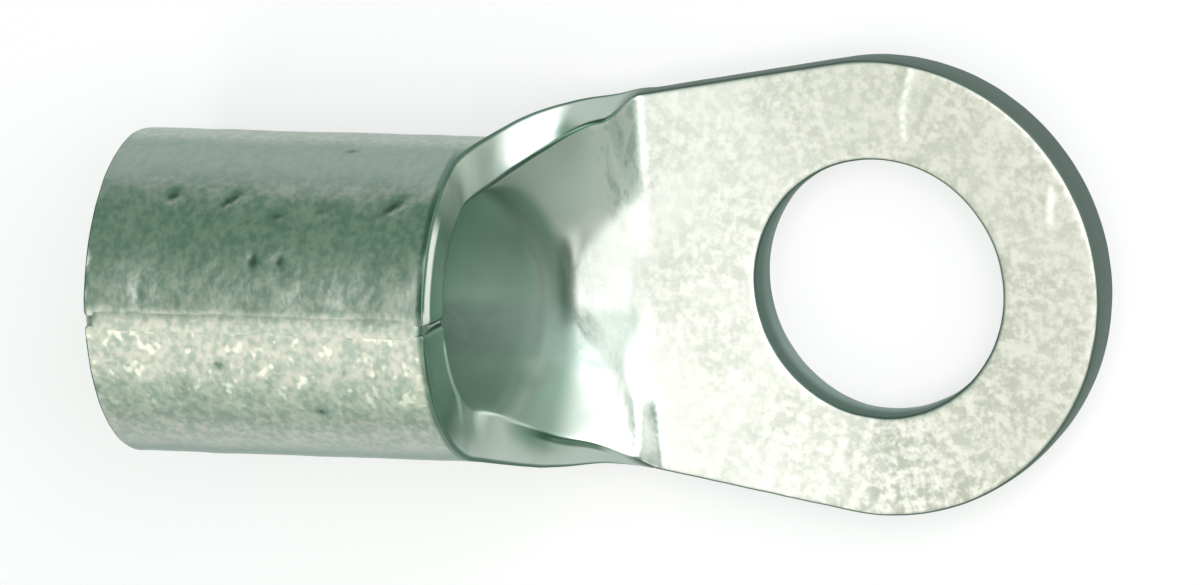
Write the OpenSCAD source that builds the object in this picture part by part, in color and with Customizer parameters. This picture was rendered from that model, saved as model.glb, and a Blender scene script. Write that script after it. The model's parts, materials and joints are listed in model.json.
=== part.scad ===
// Uninsulated ring terminal, folded and stamped from one blank of tinned copper sheet.
// The blank is a ring with a tapering palm, a neck and a wide rear flap. The flap is rolled
// into the wire barrel and its butt seam is brazed, and the open neck between the barrel
// and the palm flattens out from a half round trough.
//
// Frame: the stud hole's axis is the Z axis and the underside of the palm is z = 0.
// +X points from the barrel towards the tip of the ring, +Z points out of the palm's top.

/* [Sheet] */
// Thickness of the copper sheet
sheet_t = 0.9; // [0.6:0.05:1.2]
// Rounding along the sheared edges of the neck
edge_round = 0.14; // [0.05:0.01:0.22]

/* [Barrel] */
// Outer diameter of the wire barrel
barrel_d = 5.6; // [4.6:0.1:8]
// Length of the wire barrel, from its rear end to its mouth over the neck
barrel_len = 6.35; // [4:0.05:10]
// Softened corner of both ends of the barrel, outside
end_chamfer = 0.1; // [0.04:0.01:0.2]
// Countersink where the stripped wire enters the bore
entry_chamfer = 0.22; // [0.05:0.01:0.3]
// Width of the groove that the brazed butt seam leaves
seam_w = 0.16; // [0.08:0.01:0.4]
// Depth of the seam's groove
seam_depth = 0.09; // [0.03:0.01:0.2]
// Depth of the notch that the seam leaves in each end of the barrel
notch_depth = 0.16; // [0.05:0.01:0.4]
// Width of that notch at the rim
notch_w = 0.34; // [0.2:0.02:0.6]

/* [Neck] */
// Length of the open neck, from the mouth of the barrel to the pressed palm
neck_len = 1.97; // [1.5:0.05:4]
// Radius of the inner corners between the neck's edges and the barrel's mouth
corner_r = 1.5; // [0.4:0.05:1.8]
// Slope of the neck's wings where the press stopped flattening them
wing_angle = 25; // [6:1:40]
// Length over which the press sets the wings down to the flat palm
press_len = 0.45; // [0.2:0.05:0.6]

/* [Palm] */
// Outer diameter of the ring
ring_d = 8; // [7:0.1:12]
// Clearance hole for the stud
hole_d = 4.5; // [3.2:0.1:5.5]
// Distance from the press line to the stud hole's axis
palm_len = 4.55; // [3:0.05:7]
// Angle of each side of the palm to the centre line, as it runs into the ring
side_taper = 10; // [4:1:16]
// Corner that the punch rolled over round the top of the stud hole
hole_roll = 0.1; // [0.02:0.01:0.2]

/* [Hidden] */
$fn = 96;

barrel_r = barrel_d / 2;
bore_r = barrel_r - sheet_t;
mid_r = barrel_r - sheet_t / 2;
press_x = -palm_len;
mouth_x = press_x - neck_len;
rear_x = mouth_x - barrel_len;
ring_r = ring_d / 2;

// The loft of the neck runs on a little way inside the barrel's wall and inside the palm,
// a hair under their surfaces, so that the three forms grow into one solid.
root = 0.35;
hair = 0.02;

// Half width of the blank at x, along its straight sides
function plain_half(x) = ring_r / cos(side_taper) + x * tan(side_taper);

// Half width of the blank at x, with the corner that it rounds towards the barrel
function blank_half(x) =
    let (c = max(0, corner_r - max(0, x - mouth_x)))
    plain_half(x) + corner_r - sqrt(max(0, corner_r * corner_r - c * c));

// Smooth step from 0 to 1
function ease(t) = let (u = min(1, max(0, t))) u * u * (3 - 2 * u);

// Curvature of the middle of the sheet at x, in degrees per millimetre of width: round as the
// barrel at the mouth, then opening out to the wings, and flat past the press line
barrel_bend = 180 / PI / mid_r;
wing_bend = wing_angle / plain_half(press_x);
flat_bend = 0.02;
opening = 0.9;
function bend(x) =
    let (along = min(1, max(0, (x - mouth_x) / neck_len)))
    x < press_x
        ? barrel_bend + (wing_bend - barrel_bend) * ease(pow(along, opening))
        : max(flat_bend, wing_bend * (1 - ease((x - press_x) / press_len)));

// Point of the section at x: s runs along the width, n is the height over the sheet's middle
function sheet_point(x, s, n) =
    let (k = bend(x), r = 180 / PI / k, a = s * k)
    [x, (r - n) * sin(a), sheet_t / 2 + r - (r - n) * cos(a)];

// One face of the sheet at x, as a row of points from its left edge to its right edge.
// The outer face has side = -1 and the inner face has side = 1.
face_steps = 24;
corner_steps = 3;
function face_row(x, side) =
    let (w = blank_half(x) - hair,
         h = sheet_t / 2 - hair,
         e = edge_round,
         turn = 90 / corner_steps)
    concat(
        [for (i = [0:corner_steps])
            sheet_point(x, -w + e - e * cos(i * turn), side * (h - e + e * sin(i * turn)))],
        [for (i = [1:face_steps - 1])
            sheet_point(x, (w - e) * (2 * i / face_steps - 1), side * h)],
        [for (i = [0:corner_steps])
            sheet_point(x, w - e + e * sin(i * turn), side * (h - e + e * cos(i * turn)))]
    );

// Closed skin over two faces of a sheet, each given as equally long rows of points
module sheet_skin(outer, inner) {
    rows = len(outer);
    n = len(outer[0]);
    ring = 2 * n;
    // Points go once round each section: along the outer face and back along the inner one
    points = [for (j = [0:rows - 1])
        for (i = [0:ring - 1]) i < n ? outer[j][i] : inner[j][ring - 1 - i]];
    last = (rows - 1) * ring;
    polyhedron(
        points = points,
        faces = concat(
            [for (j = [0:rows - 2]) for (i = [0:ring - 1])
                let (a = j * ring + i, b = j * ring + (i + 1) % ring) [a, a + ring, b]],
            [for (j = [0:rows - 2]) for (i = [0:ring - 1])
                let (a = j * ring + i, b = j * ring + (i + 1) % ring) [b, a + ring, b + ring]],
            [for (i = [0:n - 2]) [i, i + 1, ring - 2 - i]],
            [for (i = [0:n - 2]) [i, ring - 2 - i, ring - 1 - i]],
            [for (i = [0:n - 2]) [last + i, last + ring - 2 - i, last + i + 1]],
            [for (i = [0:n - 2]) [last + i, last + ring - 1 - i, last + ring - 2 - i]]
        ),
        convexity = 6
    );
}

// Wire barrel, with softened ends
module barrel() {
    translate([rear_x, 0, barrel_r])
    rotate([0, 90, 0])
    rotate_extrude()
    polygon([
        [bore_r + entry_chamfer, 0],
        [barrel_r - end_chamfer, 0],
        [barrel_r, end_chamfer],
        [barrel_r, barrel_len],
        [bore_r, barrel_len],
        [bore_r, entry_chamfer]
    ]);
}

// What the butt seam takes out of the barrel: a groove along its top and a notch in each rim
module seam() {
    reach = 1;
    slope = seam_w / 2 / seam_depth;
    translate([rear_x - reach, 0, barrel_d - seam_depth])
    rotate([90, 0, 90])
    linear_extrude(barrel_len + 2 * reach)
    polygon([[0, 0], [slope * reach, reach], [-slope * reach, reach]]);
    for (end = [0, 1])
        translate([end == 0 ? rear_x : mouth_x, 0, barrel_r])
        mirror([end, 0, 0])
        linear_extrude(barrel_d)
        polygon([
            [notch_depth, 0],
            [-notch_depth, notch_w],
            [-notch_depth, -notch_w]
        ]);
}

// Open neck, from the barrel's mouth to the flat palm
module neck() {
    // Sections stand close where the outline turns or the press leaves its step
    xs = concat(
        [mouth_x - root],
        [for (i = [0:13]) mouth_x + corner_r * (1 - cos(90 * i / 13))],
        [for (i = [1:4]) mouth_x + corner_r + (neck_len - corner_r) * i / 4],
        [for (i = [1:6]) press_x + press_len * i / 6],
        [press_x + press_len + root]
    );
    sheet_skin([for (x = xs) face_row(x, -1)], [for (x = xs) face_row(x, 1)]);
}

// Flat palm and ring
module palm() {
    start = press_x + press_len;
    tangent = [ring_r * sin(side_taper), ring_r * cos(side_taper)];
    linear_extrude(sheet_t) {
        circle(r = ring_r);
        polygon([
            [start, -plain_half(start)],
            [-tangent[0], -tangent[1]],
            [-tangent[0], tangent[1]],
            [start, plain_half(start)]
        ]);
    }
}

// Stud hole, punched from the top: its upper corner is rolled and its lower one is sharp
module stud_hole() {
    reach = 1;
    translate([0, 0, -reach])
    cylinder(d = hole_d, h = sheet_t + 2 * reach);
    translate([0, 0, sheet_t - hole_roll])
    cylinder(h = 2 * hole_roll, r1 = hole_d / 2, r2 = hole_d / 2 + 2 * hole_roll);
}

module ring_terminal() {
    color("silver")
    difference() {
        union() {
            barrel();
            neck();
            palm();
        }
        seam();
        stud_hole();
    }
}

ring_terminal();
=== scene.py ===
import json
import math

import bmesh
import bpy
import numpy as np
from mathutils import Matrix, Vector, noise
from mathutils.geometry import delaunay_2d_cdt


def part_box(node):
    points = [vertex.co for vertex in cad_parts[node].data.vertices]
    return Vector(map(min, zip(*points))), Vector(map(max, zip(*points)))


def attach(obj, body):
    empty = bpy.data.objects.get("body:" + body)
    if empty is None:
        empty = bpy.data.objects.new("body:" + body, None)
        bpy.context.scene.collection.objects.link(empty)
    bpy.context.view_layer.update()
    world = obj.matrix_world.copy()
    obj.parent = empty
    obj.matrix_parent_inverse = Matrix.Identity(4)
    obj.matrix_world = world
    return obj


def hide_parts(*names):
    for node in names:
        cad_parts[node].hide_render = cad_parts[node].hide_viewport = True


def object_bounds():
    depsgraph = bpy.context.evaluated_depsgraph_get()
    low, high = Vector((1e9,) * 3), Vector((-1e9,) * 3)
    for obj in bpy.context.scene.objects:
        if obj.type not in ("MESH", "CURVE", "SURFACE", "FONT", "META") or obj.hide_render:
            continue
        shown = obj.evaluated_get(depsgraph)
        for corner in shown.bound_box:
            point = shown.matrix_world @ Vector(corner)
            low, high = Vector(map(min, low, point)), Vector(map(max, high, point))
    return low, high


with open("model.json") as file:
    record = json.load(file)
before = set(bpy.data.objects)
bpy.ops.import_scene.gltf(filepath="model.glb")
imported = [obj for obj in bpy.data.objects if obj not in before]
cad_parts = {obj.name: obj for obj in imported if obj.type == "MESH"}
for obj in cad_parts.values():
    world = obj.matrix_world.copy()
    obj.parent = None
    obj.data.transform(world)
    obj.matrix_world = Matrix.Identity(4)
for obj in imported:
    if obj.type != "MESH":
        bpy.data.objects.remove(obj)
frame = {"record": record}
CAD_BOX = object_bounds()
MM = 0.001
# noise_vector takes its offsets from this seed, and from the clock without it
noise.seed_set(5)

# ---------------------------------------------------------------- sizes, from the frame
mounts = {m["name"]: m for m in frame["record"]["mounts"]}
barrel_mount, hole_mount = mounts["wire_barrel"], mounts["stud_hole"]
box_low, box_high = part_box("ring_terminal")
BARREL_R = barrel_mount["pos_m"][2] / MM
BORE_R = barrel_mount["dims"]["r_mm"]
SHEET_T = BARREL_R - BORE_R
MID_R = BARREL_R - SHEET_T / 2
MOUTH_X = barrel_mount["pos_m"][0] / MM + barrel_mount["dims"]["length_mm"] / 2
REAR_X = box_low[0] / MM
RING_R = box_high[0] / MM
HOLE_R = hole_mount["dims"]["r_mm"]

# ---------------------------------------------------------------- sizes, as in the solid
NECK_LEN = 1.97
CORNER_R = 1.5
WING_ANGLE = math.radians(25)
OPENING = 0.9
PRESS_LEN = 0.45
SIDE_TAPER = math.radians(10)
PRESS_X = MOUTH_X + NECK_LEN
# The flap's two edges meet at this distance from the centre line
SEAM_S = math.pi * MID_R

# ---------------------------------------------------------------- sizes of the detail
# Spacing of the mesh's points: in general, on tight curves and round the flap's corners.
# A grid point nearer to an outline than LOOP_CLEARANCE would make slivers.
STEP = 0.085
FINE_STEP = STEP * 0.8
CORNER_STEP = STEP / 3
LOOP_CLEARANCE = 0.62 * STEP

# The die rolls the corners of the upper face and leaves the lower ones sharper. The lower
# part of the sheared edge is a break that leans in. In its outline the flap has round corners.
ROLL = 0.08
LOWER_ROLL = 0.025
BREAK_TAPER = 0.05
FLAP_CORNER = 0.13

# The press line at the centre line, how it runs off across the sheet, and a bump and a dip
# in its -Y half, each as (s, reach, height)
PRESS_OFFSET = 0.02
PRESS_SLOPE = -0.045
PRESS_BUMPS = [(-2.9, 0.6, 0.10), (-1.5, 0.55, -0.20)]
# Where past the mouth the line's straying sets in, and over what length
STRAY_FROM = 0.9
STRAY_LEN = 0.8
# The press step is shorter by this share on the -Y wing, from this far across
WING_STEP_CUT = 0.55
WING_STEP_FROM = 1.8

# Coined tongue in the floor of the trough: where it starts, its middle, its blunt front, its
# spread to the palm, and the hump that it pushed up
TONGUE_X = MOUTH_X + 0.93
TONGUE_S = -0.25
TONGUE_FRONT = 0.6
TONGUE_SPREAD = 1.1
TONGUE_HUMP = 0.06
HUMP_RISE = 0.3
HUMP_SIDE = 0.8

# Butt seam: the gap between the flap's edges, the braze that fills it, and the ridge beside
# it. The braze stands proud by its crown in the middle and falls off to its sides.
SEAM_GAP = 0.02
BRAZE_HALF = 0.24
BRAZE_CROWN = 0.006
BRAZE_FALL = 3.2
SEAM_RIDGE = 0.035
RIDGE_REACH = 0.45
RIDGE_SHIFT = 0.25

# Burr that the punch leaves on the lower rim of the stud hole, at its -Y side, and the share
# of it at the side towards the barrel
BURR = 0.13
BURR_REAR_SHARE = 0.25

# Waves in the sheet, as (height, waves per millimetre): everywhere, and more on the barrel,
# which run out over BARREL_FADE past its mouth. The sheared edges waver as well.
WAVES = [(0.006, 0.9), (0.003, 2.6)]
BARREL_WAVES = [(0.012, 1.1), (0.006, 2.2)]
BARREL_FADE = 0.5
EDGE_WAVER, EDGE_PITCH = 0.005, 3.0

# Pits in the barrel's skin, as (x, s, half length, half width, turn). A pit narrower than
# PIT_FULL_WIDTH is shallower too.
PIT_DEPTH = 0.03
PIT_FULL_WIDTH = 0.07
PITS = [
    (-10.36, 5.50, 0.24, 0.07, -0.6), (-7.37, 5.55, 0.24, 0.075, -0.6),
    (-11.43, 5.46, 0.12, 0.08, -0.4), (-9.46, 5.76, 0.15, 0.06, -0.2),
    (-8.55, 4.35, 0.12, 0.06, -0.1), (-8.62, 5.64, 0.14, 0.05, -0.2),
    (-9.74, 6.45, 0.09, 0.12, 0.0), (-9.26, 6.44, 0.09, 0.07, 0.0),
    (-11.80, 6.95, 0.04, 0.20, 0.0), (-10.42, -6.75, 0.10, 0.07, 0.3),
    (-8.73, -5.97, 0.09, 0.07, 0.0), (-8.13, -6.68, 0.04, 0.12, 0.1),
]

# Scratches on the palm, as rows of (x, s) points with a width, and how far their metal rises
SCRATCH_RISE = 0.008
SCRATCHES = [
    ([(0.73, 3.86), (0.62, 3.4), (0.54, 3.17), (0.57, 2.63)], 0.036),
    ([(3.2, 1.8), (3.15, 1.27)], 0.055),
]


# ---------------------------------------------------------------- the blank, flat
def plain_half(x):
    """Half width of the blank along its straight, tapering sides."""
    return RING_R / math.cos(SIDE_TAPER) + x * math.tan(SIDE_TAPER)


def line(p, q):
    """Points from p up to, but not including, q."""
    n = max(1, round(math.dist(p, q) / STEP))
    return [(p[0] + (q[0] - p[0]) * i / n, p[1] + (q[1] - p[1]) * i / n) for i in range(n)]


def arc(centre, r, start, end, step=STEP):
    """Points round an arc from one angle up to, but not including, the other."""
    n = max(5, round(abs(end - start) * r / step))
    turns = [start + (end - start) * i / n for i in range(n)]
    return [(centre[0] + r * math.cos(a), centre[1] + r * math.sin(a)) for a in turns]


def blank_outline():
    """Outline of the flat blank, anticlockwise from the tip of the ring."""
    flap = SEAM_S - SEAM_GAP / 2
    right = math.pi / 2
    tangent = right + SIDE_TAPER
    # The neck's corner is a circle that touches the tapering side and the edge of the flap
    centre_s = plain_half(MOUTH_X + CORNER_R) + CORNER_R / math.cos(SIDE_TAPER)
    touch = (MOUTH_X + CORNER_R * (1 + math.sin(SIDE_TAPER)),
             centre_s - CORNER_R * math.cos(SIDE_TAPER))
    front, rear = MOUTH_X - FLAP_CORNER, REAR_X + FLAP_CORNER
    corner_s = flap - FLAP_CORNER
    half = arc((0, 0), RING_R, 0, tangent)
    half += line((RING_R * math.cos(tangent), RING_R * math.sin(tangent)), touch)
    half += arc((MOUTH_X + CORNER_R, centre_s), CORNER_R, SIDE_TAPER - right, -2 * right, FINE_STEP)
    half += line((MOUTH_X, centre_s), (MOUTH_X, corner_s))
    half += arc((front, corner_s), FLAP_CORNER, 0, right, CORNER_STEP)
    half += line((front, flap), (rear, flap))
    half += arc((rear, corner_s), FLAP_CORNER, right, 2 * right, CORNER_STEP)
    half += line((REAR_X, corner_s), (REAR_X, 0))
    return half + [(REAR_X, 0)] + [(x, -s) for x, s in reversed(half[1:])]


def inset(loop, distance):
    """The loop moved to its left by a distance, which is inwards for an anticlockwise one."""
    p = np.array(loop)
    along = np.roll(p, -1, axis=0) - np.roll(p, 1, axis=0)
    along /= np.linalg.norm(along, axis=1)[:, None]
    return p + distance * np.stack([-along[:, 1], along[:, 0]], axis=1)


def inside(points, loop):
    """Which of the points lie inside the loop."""
    x, y = points[:, 0], points[:, 1]
    result = np.zeros(len(points), bool)
    for (x1, y1), (x2, y2) in zip(loop, np.roll(loop, -1, axis=0)):
        crosses = (y1 > y) != (y2 > y)
        if y1 != y2:
            result ^= crosses & (x < (x2 - x1) * (y - y1) / (y2 - y1) + x1)
    return result


def grid_inside(outer, hole):
    """A triangular grid of points in the blank's face, clear of both loops."""
    low, high = outer.min(axis=0), outer.max(axis=0)
    row_gap = STEP * math.sqrt(3) / 2
    rows = int((high[1] - low[1]) / row_gap) + 1
    cols = int((high[0] - low[0]) / STEP) + 1
    points = np.array([
        (low[0] + (i + 0.5 * (j % 2)) * STEP, low[1] + j * row_gap)
        for j in range(rows) for i in range(cols)
    ])
    points = points[inside(points, outer) & ~inside(points, hole)]
    clear = np.full(len(points), True)
    # The distances are taken in blocks, to keep the tables small
    block_len = 4000
    for loop in (outer, hole):
        for first in range(0, len(points), block_len):
            block = points[first:first + block_len]
            gap = np.linalg.norm(block[:, None, :] - loop[None, :, :], axis=2).min(axis=1)
            clear[first:first + block_len] &= gap > LOOP_CLEARANCE
    return points[clear]


def triangulate(outer, hole):
    """Points and triangles of the blank's face: the outer loop, the hole's loop, the grid."""
    points = np.concatenate([outer, hole, grid_inside(outer, hole)])
    n, m = len(outer), len(hole)
    edges = [(i, (i + 1) % n) for i in range(n)] + [(n + i, n + (i + 1) % m) for i in range(m)]
    whole_hull, epsilon = 0, 1e-6
    result = delaunay_2d_cdt([Vector(p) for p in points], edges, [], whole_hull, epsilon)
    assert len(result[0]) == len(points)
    faces = np.array([f for f in result[2]])
    centres = points[faces].mean(axis=1)
    return points, faces[inside(centres, outer) & ~inside(centres, hole)]


# ---------------------------------------------------------------- rolled and pressed
def ease(t):
    """Smooth step from 0 to 1."""
    t = np.clip(t, 0, 1)
    return t * t * (3 - 2 * t)


def bend(x):
    """Curvature of the sheet's middle at each x, in radians per millimetre."""
    along = np.clip((x - MOUTH_X) / NECK_LEN, 0, 1)
    wing = WING_ANGLE / plain_half(PRESS_X)
    neck = 1 / MID_R + (wing - 1 / MID_R) * ease(along ** OPENING)
    step = wing * (1 - ease((x - PRESS_X) / PRESS_LEN))
    # The palm keeps a trace of curvature, so that its radius isn't infinite
    flat_bend = 1e-4
    return np.maximum(flat_bend, np.where(x < PRESS_X, neck, step))


def press_shift(s):
    """How far the press line strays along X at each s: the tool sat a little askew."""
    shift = PRESS_OFFSET + PRESS_SLOPE * s
    for centre, reach, height in PRESS_BUMPS:
        shift = shift + height * np.exp(-((s - centre) / reach) ** 2)
    return shift


def tool_x(x, s):
    """Place under the press tool of each point: the tool's step is shorter on the -Y wing."""
    strays = ease((x - MOUTH_X - STRAY_FROM) / STRAY_LEN) * (x < 0)
    moved = x - press_shift(s) * strays
    shorter = 1 - WING_STEP_CUT * ease(-s - WING_STEP_FROM)
    return np.where(moved > PRESS_X, PRESS_X + (moved - PRESS_X) / shorter, moved)


def fold(flat):
    """Places in space, and the direction of the upper face, for rows of (x, s, n)."""
    x, s, n = flat.T
    k = bend(tool_x(x, s))
    a = s * k
    r = 1 / k
    place = np.stack([x, (r - n) * np.sin(a), SHEET_T / 2 + r - (r - n) * np.cos(a)], axis=1)
    return place, np.stack([np.zeros_like(a), -np.sin(a), np.cos(a)], axis=1)


def edge_profile():
    """Round the sheared edge from the upper face to the lower one, as (inset, n)."""
    top = SHEET_T / 2
    corner_steps, wall_steps = 4, 5
    # Share of the wall that stands upright, over the leaning break
    upright = 0.4
    turns = [math.pi / 2 * i / corner_steps for i in range(1, corner_steps + 1)]
    profile = [(ROLL * (1 - math.sin(a)), top - ROLL * (1 - math.cos(a))) for a in turns]
    depth = 2 * top - ROLL - LOWER_ROLL
    profile += [
        (BREAK_TAPER * max(0, i / wall_steps - upright) / (1 - upright),
         top - ROLL - depth * i / wall_steps)
        for i in range(1, wall_steps)
    ]
    profile += [
        (BREAK_TAPER + LOWER_ROLL * (1 - math.cos(a)), LOWER_ROLL * (1 - math.sin(a)) - top)
        for a in [0] + turns[:-1]
    ]
    return profile + [(BREAK_TAPER + LOWER_ROLL, -top)]


def ring_faces(above, below):
    """Quads between two rings of vertex numbers."""
    n = len(above)
    return [(above[i], below[i], below[(i + 1) % n], above[(i + 1) % n]) for i in range(n)]


def sheet_mesh():
    """Flat coordinates and faces of the sheet, and for each point how far it is in an edge:
    0 on the faces, 0.5 at the corners and 1 on the sheared wall."""
    outline = blank_outline()
    hole = arc((0, 0), HOLE_R, 0, -2 * math.pi, FINE_STEP)
    face_points, triangles = triangulate(inset(outline, ROLL), inset(hole, ROLL))
    count = len(face_points)
    top = SHEET_T / 2
    wall_top = top - 0.02
    flat = [np.column_stack([face_points, np.full(count, top)]),
            np.column_stack([face_points, np.full(count, -top)])]
    faces = [tuple(t) for t in triangles] + [tuple(t[::-1] + count) for t in triangles]
    edge = [np.zeros(2 * count)]
    used = 2 * count
    first = 0
    for loop in (outline, hole):
        n = len(loop)
        above = first + np.arange(n)
        for distance, height in edge_profile():
            flat.append(np.column_stack([inset(loop, distance), np.full(n, height)]))
            edge.append(np.full(n, 1.0 if abs(height) < wall_top else 0.5))
            below = used + np.arange(n)
            used += n
            faces += ring_faces(above, below)
            above = below
        faces += ring_faces(above, count + first + np.arange(n))
        first += n
    return np.concatenate(flat), faces, np.concatenate(edge)


def braze_strip(flat, faces, edge):
    """Adds the filler that closes the butt seam, all but flush with the barrel's surface."""
    # The strip's section is a crowned row of points outside and two points inside. Both ends
    # stop short of the barrel's and sink in.
    crown_points, sections = 11, 80
    end_gap, sink, sink_len = 0.08, 0.05, 0.12
    crown = [(t * BRAZE_HALF, BRAZE_CROWN * (t * t * BRAZE_FALL - 1))
             for t in np.linspace(-1, 1, crown_points)]
    foot, inner_n = BRAZE_HALF * 0.4, SHEET_T / 2 - 0.05
    xs = np.linspace(REAR_X + end_gap, MOUTH_X - end_gap, sections)
    rows = []
    for x in xs:
        sunk = sink * (1 - ease(min(x - xs[0], xs[-1] - x) / sink_len))
        rows += [(x, SEAM_S + s, -SHEET_T / 2 + n + sunk) for s, n in crown]
        rows += [(x, SEAM_S + foot, inner_n), (x, SEAM_S - foot, inner_n)]
    first, sides = len(flat), len(crown) + 2
    for j in range(len(xs) - 1):
        for i in range(sides):
            a, b = first + sides * j + i, first + sides * j + (i + 1) % sides
            faces.append((a, b, b + sides, a + sides))
    last = first + sides * (len(xs) - 1)
    faces.append(tuple(first + i for i in reversed(range(sides))))
    faces.append(tuple(last + i for i in range(sides)))
    return np.concatenate([flat, rows]), faces, np.concatenate([edge, np.full(len(rows), 0.1)])


# ---------------------------------------------------------------- marks of making and wear
def pit_share(flat):
    """How deep each point lies in a pit, from 0 to 1."""
    x, s, n = flat.T
    share = np.zeros(len(flat))
    for px, ps, length, width, turn in PITS:
        along = (x - px) * math.cos(turn) + (s - ps) * math.sin(turn)
        across = (s - ps) * math.cos(turn) - (x - px) * math.sin(turn)
        shape = np.exp(-(along / length) ** 2 - (across / width) ** 2)
        share = np.maximum(share, shape * min(1, min(length, width) / PIT_FULL_WIDTH))
    return share * (n < 0)


def scratch_share(flat):
    """How far each point of the palm's top lies in a scratch, from 0 to 1."""
    share = np.zeros(len(flat))
    for points, width in SCRATCHES:
        for a, b in zip(np.array(points[:-1]), np.array(points[1:])):
            t = np.clip((flat[:, :2] - a) @ (b - a) / ((b - a) @ (b - a)), 0, 1)
            gap = np.linalg.norm(flat[:, :2] - a - t[:, None] * (b - a), axis=1)
            share = np.maximum(share, np.exp(-(gap / width) ** 2))
    return share * (flat[:, 2] > 0)


def tongue_half(x):
    """Half width of the coined tongue at each x."""
    into = np.clip((x - TONGUE_X) / (PRESS_X - TONGUE_X), 0, 1)
    # The blunt front has its full width a fifth of the way in
    return TONGUE_FRONT * np.sqrt(np.clip(into * 5, 0, 1)) + TONGUE_SPREAD * into


def share_inside(depth, blur):
    """From 0 outside a soft border to 1 inside it, for depths inside the border."""
    return ease(0.5 + depth / blur)


def tongue_lift(flat):
    """Metal that the tongue's front pushed up ahead of it, running out towards the palm."""
    x, s, n = flat.T
    rise = ease((x - TONGUE_X + HUMP_RISE) / HUMP_RISE)
    fall = np.clip((PRESS_X - x) / (PRESS_X - TONGUE_X), 0, 1)
    half = np.maximum(tongue_half(x), TONGUE_FRONT + 0.2)
    return TONGUE_HUMP * rise * fall * share_inside(half - np.abs(s), HUMP_SIDE) * (n > 0)


def pressed_share(flat):
    """Where the press tool has coined the sheet: the palm, and a tongue of the trough's floor."""
    x, s, n = flat.T
    side_blur, front_blur, palm_blur = 0.45, 0.24, 0.12
    tongue = share_inside(tongue_half(x) - np.abs(s - TONGUE_S), side_blur)
    tongue = tongue * share_inside(x - TONGUE_X, front_blur)
    # The palm's mark starts just short of the foot of the press step
    palm_start = PRESS_X + PRESS_LEN - 0.06
    palm = share_inside(tool_x(x, s) - palm_start, palm_blur)
    return np.maximum(tongue * (n > 0), palm)


def wave(point, waves):
    """Height of a few waves of noise at a point."""
    return sum(height * noise.noise(point * pitch) for height, pitch in waves)


def unevenness(place, up, flat, edge):
    """The places with waves, pits and scratches, the tongue's hump, the seam's ridge and the
    burr added."""
    moved = place.copy()
    x, s, n = flat.T
    from_seam = np.where(s > 0, SEAM_S - s, -SEAM_S - s)
    ridge = SEAM_RIDGE * np.exp(-np.abs(from_seam - RIDGE_SHIFT) / RIDGE_REACH)
    ridge = ridge * (x < MOUTH_X + 0.01)
    barrel = 1 - ease((x - MOUTH_X) / BARREL_FADE)
    sink = PIT_DEPTH * pit_share(flat) - SCRATCH_RISE * scratch_share(flat) - tongue_lift(flat)
    on_edge = edge > 0.4
    for i, p in enumerate(place):
        v = Vector(p)
        height = wave(v, WAVES) + barrel[i] * wave(v, BARREL_WAVES)
        moved[i] += up[i] * (height - ridge[i] + sink[i] * (1 if n[i] < 0 else -1))
        if on_edge[i]:
            moved[i] += noise.noise_vector(v * EDGE_PITCH) * EDGE_WAVER
    # The burr leans into the stud hole, more and more down the wall
    away = np.hypot(x, s)
    in_hole = away < HOLE_R + 0.02
    lean = np.clip(-s / away, 0, 1) ** 1.5 + BURR_REAR_SHARE * np.clip(-x / away, 0, 1)
    lean *= BURR * np.clip(0.5 - n / SHEET_T, 0, 1) ** 1.5 * in_hole
    moved[:, 0] -= lean * x / away
    moved[:, 1] -= lean * s / away
    return moved


def make_terminal():
    """The folded sheet as one object, with its flat coordinates and marks as attributes."""
    flat, faces, edge = braze_strip(*sheet_mesh())
    place, up = fold(flat)
    place = unevenness(place, up, flat, edge)
    mesh = bpy.data.meshes.new("tinned_sheet")
    mesh.from_pydata((place * MM).tolist(), [], faces)
    bm = bmesh.new()
    bm.from_mesh(mesh)
    bmesh.ops.recalc_face_normals(bm, faces=bm.faces)
    bm.to_mesh(mesh)
    bm.free()
    mesh.shade_smooth()
    sheet = mesh.attributes.new("sheet", "FLOAT_VECTOR", "POINT")
    sheet.data.foreach_set("vector", flat.astype(np.float32).ravel())
    marks = {
        "cut": edge,
        "pressed": pressed_share(flat),
        "pit": pit_share(flat),
        "scratch": scratch_share(flat),
    }
    for name, share in marks.items():
        mark = mesh.attributes.new(name, "FLOAT", "POINT")
        mark.data.foreach_set("value", share.astype(np.float32))
    obj = bpy.data.objects.new("tinned_sheet", mesh)
    bpy.context.scene.collection.objects.link(obj)
    return obj


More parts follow.
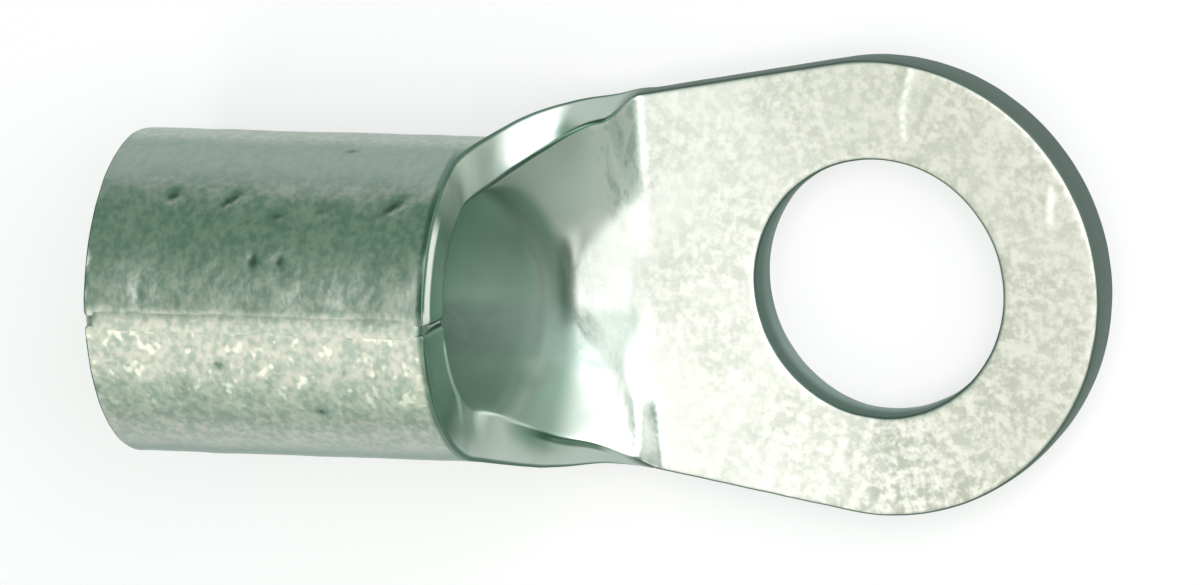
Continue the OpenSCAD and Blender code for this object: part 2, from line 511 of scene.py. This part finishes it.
# ---------------------------------------------------------------- material
# Base colours of the metal, as linear red, green and blue. Several of them paint shade, highlights and
# glints into the metal's colour.
TONE = {
    "palm": (0.94, 0.91, 0.90),
    "palm speck": (0.47, 0.47, 0.42),
    "palm painted shade": (0.58, 0.56, 0.50),
    "palm coined": (1.0, 0.99, 0.98),
    "palm band": (0.50, 0.58, 0.54),
    "neck": (0.76, 0.77, 0.74),
    "neck +Y wing shade": (0.52, 0.55, 0.515),
    "neck dull": (0.28, 0.37, 0.32),
    "neck painted shade": (0.12, 0.17, 0.14),
    "neck streak": (0.28, 0.36, 0.32),
    "neck band": (0.36, 0.45, 0.41),
    "bore": (0.52, 0.67, 0.59),
    "bore mouth shade": (0.37, 0.49, 0.42),
    "bore +Y shade": (0.52, 0.66, 0.58),
    "bore -Y shade": (0.44, 0.565, 0.49),
    "barrel light": (0.60, 0.59, 0.535),
    "barrel dark": (0.36, 0.42, 0.38),
    "barrel flank shade": (0.25, 0.325, 0.295),
    "barrel painted sparkle": (0.95, 0.91, 0.81),
    "barrel lip shade": (0.12, 0.19, 0.15),
    "pit": (0.11, 0.17, 0.135),
    "scratch": (0.97, 0.96, 0.92),
    "cut": (0.48, 0.55, 0.50),
    "cut facet highlight": (0.97, 0.97, 0.97),
    "cut painted shade": (0.085, 0.15, 0.11),
    "cut painted glint": (0.72, 0.74, 0.70),
    "cut painted highlight line": (0.42, 0.52, 0.46),
    "cut painted shadow": (0.14, 0.21, 0.17),
    "hole": (0.18, 0.245, 0.215),
    "hole -Y": (0.30, 0.375, 0.35),
    "hole top": (0.12, 0.175, 0.15),
    "palm edge and shade": (0.125, 0.165, 0.145),
    "corner": (0.10, 0.17, 0.13),
}


class Graph:
    """Short calls that add a node to a material, set its sockets and link it up."""

    def __init__(self, name):
        self.material = bpy.data.materials.new(name)
        self.material.use_nodes = True
        self.tree = self.material.node_tree
        self.shader = self.tree.nodes["Principled BSDF"]

    def add(self, kind, inputs=None, **settings):
        node = self.tree.nodes.new("ShaderNode" + kind)
        for key, value in settings.items():
            setattr(node, key, value)
        for key, value in (inputs or {}).items():
            self.put(node.inputs[key], value)
        return node

    def put(self, socket, value):
        """Links the socket to another one, or sets it. A colour has three numbers."""
        if isinstance(value, bpy.types.NodeSocket):
            self.tree.links.new(value, socket)
        elif socket.type == "RGBA":
            socket.default_value = (*value, 1)
        else:
            socket.default_value = value

    def attribute(self, name, output="Fac"):
        return self.add("Attribute", attribute_name=name).outputs[output]

    def noise(self, vector, scale, detail=2.0, rough=0.5):
        return self.add("TexNoise", {
            "Vector": vector, "Scale": scale, "Detail": detail, "Roughness": rough,
        }).outputs["Fac"]

    def math(self, operation, a, b=0.0, clamp=False):
        return self.add("Math", {0: a, 1: b}, operation=operation, use_clamp=clamp).outputs[0]

    def product(self, *values):
        """Product of masks and numbers: where all the masks hold."""
        total = values[0]
        for value in values[1:]:
            total = self.math("MULTIPLY", total, value)
        return total

    def step(self, value, zero, one):
        """Smooth step from 0, where the value is `zero`, to 1, where it is `one`."""
        return self.add("MapRange", {
            "Value": value, "From Min": zero, "From Max": one,
        }, interpolation_type="SMOOTHSTEP").outputs["Result"]

    def window(self, value, zero, one, still_one, zero_again):
        """Mask that rises between the first two places and falls between the last two."""
        return self.product(self.step(value, zero, one), self.step(value, zero_again, still_one))

    def mix(self, factor, a, b):
        """Mix of two colours, or of two numbers."""
        colour = isinstance(a, tuple) or (isinstance(a, bpy.types.NodeSocket) and a.type == "RGBA")
        node = self.add("Mix", data_type="RGBA" if colour else "FLOAT")
        # The node's sockets for numbers start at 2 and those for colours at 6
        first = 6 if colour else 2
        self.put(node.inputs[0], factor)
        self.put(node.inputs[first], a)
        self.put(node.inputs[first + 1], b)
        return node.outputs[2 if colour else 0]


class Skin(Graph):
    """The tinned skin's graph, with what its parts share: flat coordinates, marks and masks.

    Every step and window below gives places in millimetres on the flat blank: along it, past
    the barrel's mouth or past the press line, or across it as side and round_it, which is the
    distance from the centre line. Height runs from -SHEET_T / 2 outside to SHEET_T / 2 inside.
    """

    def __init__(self, name):
        super().__init__(name)
        self.flat = self.attribute("sheet", "Vector")
        self.along, self.side, self.height = self.add("SeparateXYZ", {0: self.flat}).outputs
        self.round_it = self.math("ABSOLUTE", self.side)
        self.past_mouth = self.math("SUBTRACT", self.along, MOUTH_X)
        self.past_press = self.math("SUBTRACT", self.along, PRESS_X)
        self.edge = self.attribute("cut")
        self.cut = self.step(self.edge, 0.55, 0.95)
        self.pressed = self.attribute("pressed")
        self.palm = self.step(self.past_press, -0.1, 0.3)
        self.outer = self.step(self.height, 0.1, -0.3)
        self.plus_wing = self.step(self.side, 0.5, 1.5)
        self.add_bore_masks()
        self.add_grain()

    def add_bore_masks(self):
        """Bore and the trough's floor just past the mouth, which get a duller finish and painted shade.
        The floor's part reaches less far on the +Y wing and fades out more slowly on the -Y one."""
        inner = self.step(self.height, -0.2, 0.2)
        wing_reach = self.product(self.math("MAXIMUM", self.side, 0.0), 0.22)
        depth = self.math("ADD", self.past_mouth, wing_reach)
        dull_end = self.mix(self.step(self.side, -1.0, -2.2), 1.05, 1.45)
        self.deep = self.product(inner, self.step(depth, 0.6, 0.1))
        dull_and_shade = self.product(inner, self.step(depth, dull_end, 0.75))
        self.dull_and_shade = self.math("SUBTRACT", dull_and_shade, self.deep, clamp=True)

    def add_grain(self):
        """Specks in the tin, the clouds that they gather in, and a grey band beside the
        tongue that both the palm's and the neck's tone take up."""
        self.grain = self.mix(0.35, self.noise(self.flat, 7.6, 1.6, 0.6), self.noise(self.flat, 4.0))
        self.specks = self.step(self.grain, 0.63, 0.37)
        self.cloud = self.noise(self.flat, 0.7, 3.0, 0.55)
        self.band = self.product(
            self.window(self.side, -1.95, -1.55, -0.75, -0.35),
            self.step(self.past_press, 0.35, 0.05),
            self.mix(self.specks, 1.0, 0.7))

    def tint(self, tone, name, *masks):
        """The tone, turned towards a named one where the masks hold."""
        return self.mix(self.product(*masks), tone, TONE[name])


def palm_tone(g):
    """Bright, speckled tin, more worn towards the tip, and darker towards the tip and the +Y side with
    painted shade.
    """
    ring = g.step(g.along, -3.6, 1.0)
    patches = g.step(g.cloud, 0.35, 0.65)
    worn = g.product(g.specks, g.mix(patches, g.mix(ring, 0.1, 0.6), g.mix(ring, 0.35, 1.0)))
    slant = g.math("ADD", g.product(g.along, 0.8), g.product(g.side, 0.35))
    tone = g.mix(worn, TONE["palm"], TONE["palm speck"])
    # Painted shade: the palm darker towards the tip and the +Y side
    tone = g.tint(tone, "palm painted shade", g.step(slant, -3.0, 2.0), 0.68)
    tone = g.tint(tone, "palm coined", g.step(g.past_press, 0.4, -0.1), 0.8)
    return g.tint(tone, "palm band", g.band, 0.7)


def neck_tone(g):
    """Burnished trough, the bore behind it in painted shade, and streaks across it at the press line.
    """
    # Painted shade in the bore and on the trough's floor by the mouth: darkest at the mouth and on the
    # -Y side
    bore = g.mix(g.step(g.past_mouth, -1.2, 0.1), TONE["bore"], TONE["bore mouth shade"])
    bore = g.tint(bore, "bore +Y shade", g.step(g.side, 0.7, 2.0))
    bore = g.tint(bore, "bore -Y shade", g.step(g.side, -0.7, -2.0))
    # Painted shade: the +Y wing's inside darker than the rest of the burnished trough
    tone = g.mix(g.plus_wing, TONE["neck"], TONE["neck +Y wing shade"])
    tone = g.mix(g.deep, tone, bore)
    # Painted shade over the trough's floor just past the mouth
    tone = g.tint(tone, "neck dull", g.dull_and_shade)
    # Painted shade: a darker band across the -Y wing, just past the mouth
    tone = g.tint(tone, "neck painted shade", g.step(g.side, -1.7, -2.4),
                  g.window(g.past_mouth, 0.0, 0.2, 0.42, 0.62), 0.45)
    across = g.add("VectorMath", {0: g.flat, 1: (3.0, 0.8, 1.0)}, operation="MULTIPLY").outputs[0]
    tone = g.tint(tone, "neck streak", g.step(g.noise(across, 3.2), 0.52, 0.32),
                  g.window(g.past_press, -0.5, -0.1, 0.3, 0.6), g.mix(g.plus_wing, 0.35, 0.65))
    return g.tint(tone, "neck band", g.band, 0.9)


def barrel_tone(g):
    """Mottled, darker tin, with a painted highlight of sparkles in the band beside the seam and painted
    shade on the flanks.
    """
    mottle = g.mix(0.35, g.noise(g.flat, 8.2, 1.6, 0.55), g.noise(g.flat, 3.4))
    specks = g.step(mottle, 0.66, 0.34)
    # The barrel's underside and its -Y flank were worn smoother in the die
    not_flank = g.math("MAXIMUM", g.step(g.side, -1.0, 1.0), g.step(g.side, -4.4, -6.0))
    coarse = g.math("MINIMUM", g.step(g.round_it, 3.2, 4.6), not_flank)
    specks = g.mix(coarse, g.mix(specks, 0.35, 0.65), specks)
    tone = g.mix(specks, TONE["barrel light"], TONE["barrel dark"])
    # Painted highlight: bright specks in the band on the -Y side of the seam
    tone = g.tint(tone, "barrel painted sparkle", g.step(g.noise(g.flat, 5.2, 1.0), 0.58, 0.74),
                  g.step(g.side, -5.8, -6.3), 0.75)
    # Painted shade: darker bands along the barrel's flanks
    plus_flank_shade = g.window(g.side, 3.8, 4.3, 5.0, 5.5)
    minus_flank_shade = g.window(g.side, -5.1, -4.6, -4.1, -3.6)
    return g.tint(tone, "barrel flank shade", g.math("MAXIMUM", plus_flank_shade, minus_flank_shade), 0.8)


def palm_edge_tone(g):
    """Dark sheared edge round the palm and the ring, and the stud hole's wall, both darkened further by
    painted shade.
    """
    # The sheared metal's own darker tone, with painted shade on top of it
    wall = g.mix(g.step(g.side, 0.0, -1.6), TONE["hole"], TONE["hole -Y"])
    wall = g.mix(g.step(g.height, 0.25, -0.05), TONE["hole top"], wall)
    radius = g.math("SQRT", g.math("ADD", g.math("POWER", g.along, 2.0), g.math("POWER", g.side, 2.0)))
    return g.tint(wall, "palm edge and shade", g.step(radius, HOLE_R + 0.1, HOLE_R + 0.3))


def edge_tone(g):
    """The cut faces: painted shade over the mouth, a painted highlight on the +Y wing's facet, dark
    round the palm.
    """
    # Painted highlight: a near-white facet on the +Y wing's cut face, past the mouth
    facet = g.product(g.window(g.past_mouth, 0.25, 0.45, 0.95, 1.2), g.step(g.side, 0.0, 0.1))
    tone = g.mix(facet, TONE["cut"], TONE["cut facet highlight"])
    tone = g.mix(g.palm, tone, palm_edge_tone(g))
    at_mouth = g.step(g.past_mouth, -1.0, -0.5)
    # Painted shade: the cut faces at and past the mouth darken far round from the centre line
    tone = g.tint(tone, "cut painted shade", g.step(g.round_it, 4.7, 5.8), at_mouth)
    # Painted glint along the outer corner of the cut face on the +Y side, near the seam
    tone = g.tint(tone, "cut painted glint", g.step(g.side, 5.5, 6.0), g.step(g.height, -0.14, -0.22), at_mouth)
    # Painted highlight: a light line on the -Y side, along the inner corner, then down across the cut
    # face
    level = g.mix(g.step(g.round_it, 4.3, 5.75), -0.45, 0.37)
    near = g.math("ABSOLUTE", g.math("SUBTRACT", g.height, level))
    tone = g.tint(tone, "cut painted highlight line", g.step(near, 0.13, 0.06),
                  g.window(g.side, -7.1, -6.8, -4.6, -4.4), at_mouth, 0.8)
    # Painted shadow: a dark line runs under the -Y wing's bright corner
    return g.tint(tone, "cut painted shadow", g.step(g.height, 0.20, 0.28), g.step(g.side, -2.0, -2.2),
                  g.window(g.past_mouth, 0.5, 0.8, 1.5, 1.8))


def corner_shade_mask(g):
    """Painted shade: dark lines along the sheared corners of the neck and the mouth."""
    rim = g.product(g.step(g.edge, 0.15, 0.45), g.step(g.past_press, 0.3, 0.0),
                    g.step(g.round_it, 7.20, 7.05))
    lower = g.product(rim, g.step(g.height, -0.34, -0.40))
    upper = g.product(rim, g.step(g.height, 0.34, 0.40), g.step(g.side, -0.1, 0.1))
    return g.math("MAXIMUM", lower, upper)


def skin_tone(g):
    """Base colour of the whole skin."""
    tone = g.mix(g.pressed, g.mix(g.outer, neck_tone(g), barrel_tone(g)), palm_tone(g))
    tone = g.tint(tone, "pit", g.step(g.attribute("pit"), 0.0, 0.95))
    tone = g.tint(tone, "scratch", g.attribute("scratch"))
    # Painted shade: a dark line on the barrel's outer skin just short of the mouth, over its upper part
    tone = g.tint(tone, "barrel lip shade", g.step(g.past_mouth, -0.21, -0.12),
                  g.step(g.height, 0.0, -0.2), g.step(g.round_it, 4.0, 4.6), 0.85)
    tone = g.mix(g.cut, tone, edge_tone(g))
    # Painted shade along the sheared corners
    return g.tint(tone, "corner", corner_shade_mask(g))


def skin_roughness(g):
    """Satin palm, smoother barrel and burnished neck, and a rough bore."""
    palm = g.math("ADD", 0.42, g.product(g.specks, 0.1))
    barrel = g.math("ADD", 0.26, g.product(g.cloud, 0.12))
    neck = g.mix(g.math("MAXIMUM", g.deep, g.dull_and_shade), g.mix(g.plus_wing, 0.3, 0.55), 0.6)
    rough = g.mix(g.pressed, g.mix(g.outer, neck, barrel), palm)
    return g.mix(g.cut, rough, g.mix(g.palm, 0.3, 0.5))


def skin_relief(g):
    """Grain of the tin as bump, faint on the burnished neck."""
    relief = g.math("ADD", g.product(g.grain, 0.7), g.product(g.noise(g.flat, 22.0, 1.0), 0.1))
    relief = g.math("ADD", relief, g.product(g.noise(g.flat, 3.6), 1.2))
    amount = g.mix(g.pressed, g.mix(g.outer, 0.08, 0.5), 0.45)
    return g.add("Bump", {
        "Strength": 0.6, "Distance": 0.02 * MM, "Height": g.product(relief, amount),
    }).outputs["Normal"]


def tin_material():
    """Tin-plated copper: one metal whose colour, gloss and grain change over the sheet."""
    g = Skin("tinned_copper_skin")
    g.put(g.shader.inputs["Base Color"], skin_tone(g))
    g.put(g.shader.inputs["Roughness"], skin_roughness(g))
    g.put(g.shader.inputs["Normal"], skin_relief(g))
    g.put(g.shader.inputs["Metallic"], 1.0)
    g.put(g.shader.inputs["Specular Tint"], (0.72, 0.80, 0.78))
    return g.material


# ---------------------------------------------------------------- floor, light and camera
# Sizes and distances here are in metres. The floor lies a hair under the part.
FLOOR_SIZE = 0.8
FLOOR_DROP = 0.00003
FLOOR_COLOUR = (0.98, 0.94, 0.97)
# Share of the floor's white that is its own
FLOOR_GLOW = 0.6

WORLD_COLOUR = (0.185, 0.345, 0.255)
# Softboxes, as (name, direction from the part, width, height, radiance, colour)
SOFTBOX_DISTANCE = 0.09
SOFTBOXES = [
    ("overhead", (0.28, 0.16, 0.95), 0.085, 0.095, 2.25, (1, 0.935, 0.955)),
    ("side", (-0.37, -0.46, 0.81), 0.055, 0.066, 1.35, (1, 0.89, 0.85)),
    ("fill", (0.0, -0.9, 0.38), 0.10, 0.055, 0.75, (1, 0.97, 0.91)),
    ("front", (0.75, 0.55, 0.50), 0.12, 0.10, 1.4, (1, 0.98, 1)),
]

# The camera leans from straight above towards +X and +Y and rolls, all in degrees
LEAN_X, LEAN_Y, CAMERA_ROLL = 20.93, 11.17, -2.41
CAMERA_DISTANCE = 0.3
VIEW_WIDTH = 20.6704 * MM
VIEW_CENTRE = (-4.365 * MM, 0, 1.6 * MM)
# From that point to the middle of the picture, along its right and up directions
SHIFT_RIGHT, SHIFT_UP = -0.45 * MM, -0.053 * MM


def stage():
    """White paper that shows white and still takes the part's shadow."""
    bpy.ops.mesh.primitive_plane_add(size=FLOOR_SIZE, location=(0, 0, -FLOOR_DROP))
    floor = bpy.context.object
    floor.name = "floor"
    g = Graph("paper")
    g.put(g.shader.inputs["Base Color"], FLOOR_COLOUR)
    g.put(g.shader.inputs["Roughness"], 0.9)
    path = g.add("LightPath")
    seen = g.math("MAXIMUM", path.outputs["Is Camera Ray"], path.outputs["Is Glossy Ray"])
    seen = g.math("MAXIMUM", seen, path.outputs["Is Transmission Ray"])
    glow = g.add("Emission", {"Color": (1, 1, 1), "Strength": 1.0})
    blend = g.add("MixShader", {
        0: g.product(seen, FLOOR_GLOW), 1: g.shader.outputs[0], 2: glow.outputs[0],
    })
    g.put(g.tree.nodes["Material Output"].inputs["Surface"], blend.outputs[0])
    floor.data.materials.append(g.material)


def softbox(name, aim, direction, width, height, radiance, colour):
    """A rectangular lamp that faces the aim and isn't seen itself."""
    light = bpy.data.lights.new(name, "AREA")
    light.shape = "RECTANGLE"
    light.size, light.size_y = width, height
    light.energy = radiance * math.pi * width * height
    light.color = colour
    obj = bpy.data.objects.new(name, light)
    towards = Vector(direction).normalized()
    obj.location = aim + towards * SOFTBOX_DISTANCE
    obj.rotation_euler = towards.to_track_quat("Z", "Y").to_euler()
    obj.visible_camera = False
    bpy.context.scene.collection.objects.link(obj)


def lights():
    """Soft studio light round the part, over a dim world."""
    middle = (Vector(CAD_BOX[0]) + Vector(CAD_BOX[1])) / 2
    world = bpy.context.scene.world or bpy.data.worlds.new("world")
    bpy.context.scene.world = world
    world.use_nodes = True
    back = world.node_tree.nodes["Background"]
    back.inputs["Color"].default_value = (*WORLD_COLOUR, 1)
    back.inputs["Strength"].default_value = 1.0
    for name, direction, width, height, radiance, colour in SOFTBOXES:
        softbox(name, middle, direction, width, height, radiance, colour)


def camera():
    """Long lens above the part, leaning towards the ring and the far side, slightly rolled."""
    lean_x, lean_y, roll = (math.radians(a) for a in (LEAN_X, LEAN_Y, CAMERA_ROLL))
    towards = Vector((math.sin(lean_x) * math.cos(lean_y), math.sin(lean_y),
                      math.cos(lean_x) * math.cos(lean_y)))
    right = Vector((0, 1, 0)).cross(towards).normalized()
    up = towards.cross(right)
    right, up = (right * math.cos(roll) + up * math.sin(roll),
                 up * math.cos(roll) - right * math.sin(roll))
    aim = Vector(VIEW_CENTRE) + right * SHIFT_RIGHT + up * SHIFT_UP
    cam = bpy.data.cameras.new("camera")
    cam.sensor_width = 36
    cam.lens = cam.sensor_width * CAMERA_DISTANCE / VIEW_WIDTH
    cam.clip_start = 0.01
    cam.clip_end = 10
    obj = bpy.data.objects.new("camera", cam)
    obj.matrix_world = Matrix.Translation(aim + towards * CAMERA_DISTANCE) @ Matrix(
        (right, up, towards)).transposed().to_4x4()
    bpy.context.scene.collection.objects.link(obj)
    bpy.context.scene.camera = obj


terminal = make_terminal()
terminal.data.materials.append(tin_material())
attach(terminal, "root")
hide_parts("ring_terminal")
stage()
lights()
camera()
bpy.context.scene.view_settings.view_transform = "Standard"
